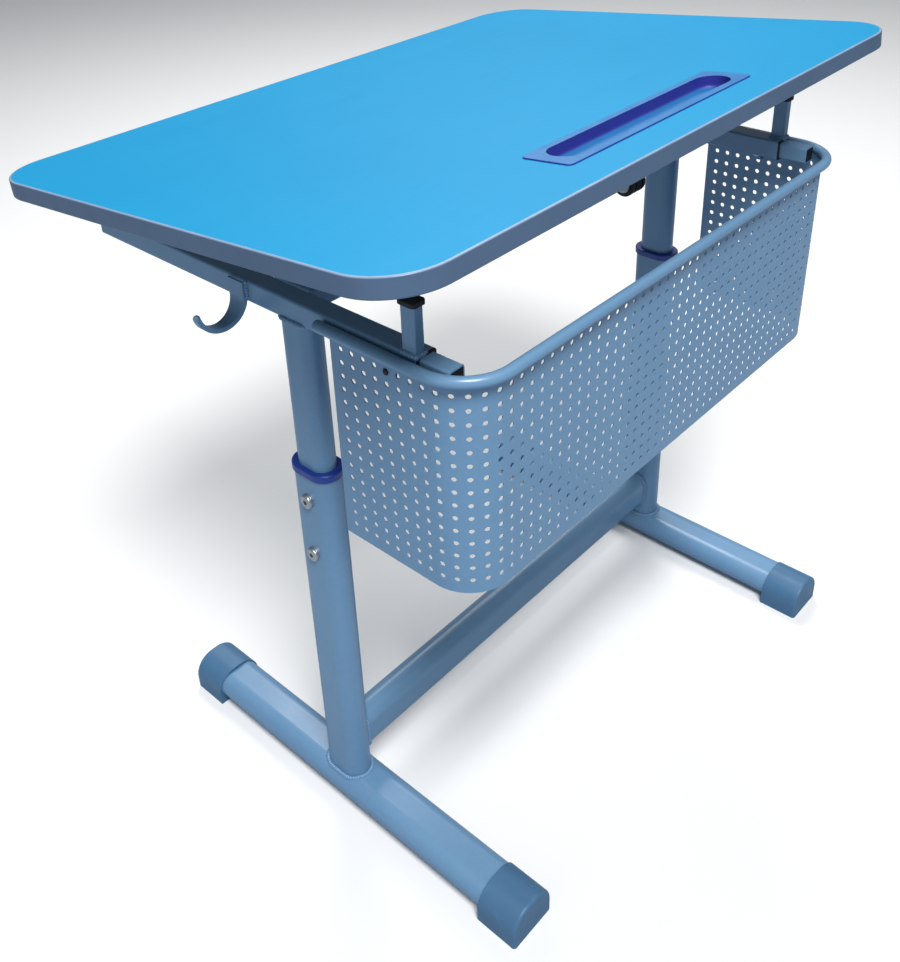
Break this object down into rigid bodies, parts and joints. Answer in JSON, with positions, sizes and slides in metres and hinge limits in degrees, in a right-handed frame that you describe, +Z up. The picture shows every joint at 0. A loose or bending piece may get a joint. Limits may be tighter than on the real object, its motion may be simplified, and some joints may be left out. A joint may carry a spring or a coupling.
{
  "type": "adjustable school desk",
  "caption": "School desk for one pupil: tilting laminate top with pen tray, telescopic legs on floor runners, perforated guard below the top and a bag hook.",
  "frame": {"origin": "on the floor under the middle of the desk's outline", "axes": "+X to the user's right, +Y away from the user towards the guard, +Z up"},
  "size_m": [0.72, 0.5439, 0.6911],
  "materials": {
    "frame_paint": "satin powder coat",
    "cap_plastic": "moulded, fine grain",
    "collar_plastic": "moulded",
    "zinc_steel": "zinc plated",
    "black_plastic": "moulded",
    "black_rubber": "matt",
    "black_steel": "black coat",
    "board_core": "particle board",
    "blue_laminate": "satin laminate",
    "backing": "plain sheet",
    "edge_plastic": "satin extrusion",
    "tray_plastic": "moulded"
  },
  "bodies": {
    "base": {"foot_cap_far_left": "cap_plastic", "foot_cap_far_right": "cap_plastic", "foot_cap_user_left": "cap_plastic", "foot_cap_user_right": "cap_plastic", "foot_tube_left": "frame_paint", "foot_tube_right": "frame_paint", "lower_leg_left": "frame_paint", "lower_leg_right": "frame_paint", "leg_collar_left": "collar_plastic", "leg_collar_right": "collar_plastic", "clamp_screws_left": "zinc_steel", "clamp_screws_right": "zinc_steel", "stretcher": "frame_paint"},
    "upper_frame": {"upper_leg_left": "frame_paint", "upper_leg_right": "frame_paint", "leg_glide_left": "black_plastic", "leg_glide_right": "black_plastic", "side_rail_left": "frame_paint", "side_rail_right": "frame_paint", "rail_plug_left": "black_plastic", "rail_plug_right": "black_plastic", "rail_bushing_left": "black_plastic", "rail_bushing_right": "black_plastic", "rest_post_left": "frame_paint", "rest_post_right": "frame_paint", "post_cap_left": "black_rubber", "post_cap_right": "black_rubber", "hinge_bracket_left": "black_steel", "hinge_bracket_right": "black_steel", "hinge_pin_left": "zinc_steel", "hinge_pin_right": "zinc_steel", "guard_stub_left": "frame_paint", "guard_stub_right": "frame_paint", "stub_plug_left": "black_plastic", "stub_plug_right": "black_plastic", "guard_tab_left": "frame_paint", "guard_tab_right": "frame_paint", "guard_screw_left": "black_steel", "guard_screw_right": "black_steel", "top_crossbar": "frame_paint", "stay_foot_bracket": "black_steel", "stay_foot_pin": "zinc_steel", "bag_hook": "frame_paint", "guard_rim": "frame_paint", "guard_sheet": "frame_paint"},
    "tabletop": {"top_board": "board_core", "top_laminate": "blue_laminate", "top_backing": "backing", "edge_band": "edge_plastic", "pen_tray": "tray_plastic", "hinge_leaf_left": "black_steel", "hinge_leaf_right": "black_steel", "stay_top_bracket": "black_steel", "stay_top_pin": "zinc_steel", "wood_screws": "zinc_steel"},
    "stay_lower": {"stay_lower_bar": "black_steel"},
    "stay_upper": {"stay_upper_bars": "black_steel", "knee_rivet": "zinc_steel"}
  },
  "joints": [
    {"name": "height_adjust", "type": "slide", "parent": "base", "child": "upper_frame", "axis": [0, 0, 1], "range_m": [-0.11, 0.12]},
    {"name": "top_tilt", "type": "hinge", "parent": "upper_frame", "child": "tabletop", "pos_m": [0, -0.22897, 0.611], "axis": [1, 0, 0], "range_deg": [-6, 30]},
    {"name": "stay_lower_swing", "type": "hinge", "parent": "upper_frame", "child": "stay_lower", "pos_m": [0, 0.01503, 0.602], "axis": [1, 0, 0], "range_deg": [-6.5, 30.5]},
    {"name": "stay_knee", "type": "hinge", "parent": "stay_lower", "child": "stay_upper", "pos_m": [0, 0.16177, 0.62175], "axis": [1, 0, 0], "range_deg": [-30.5, 6.5]}
  ],
  "couplings": [
    {"joint": "stay_lower_swing", "follows": "top_tilt", "ratio": 1},
    {"joint": "stay_knee", "follows": "top_tilt", "ratio": -1}
  ]
}
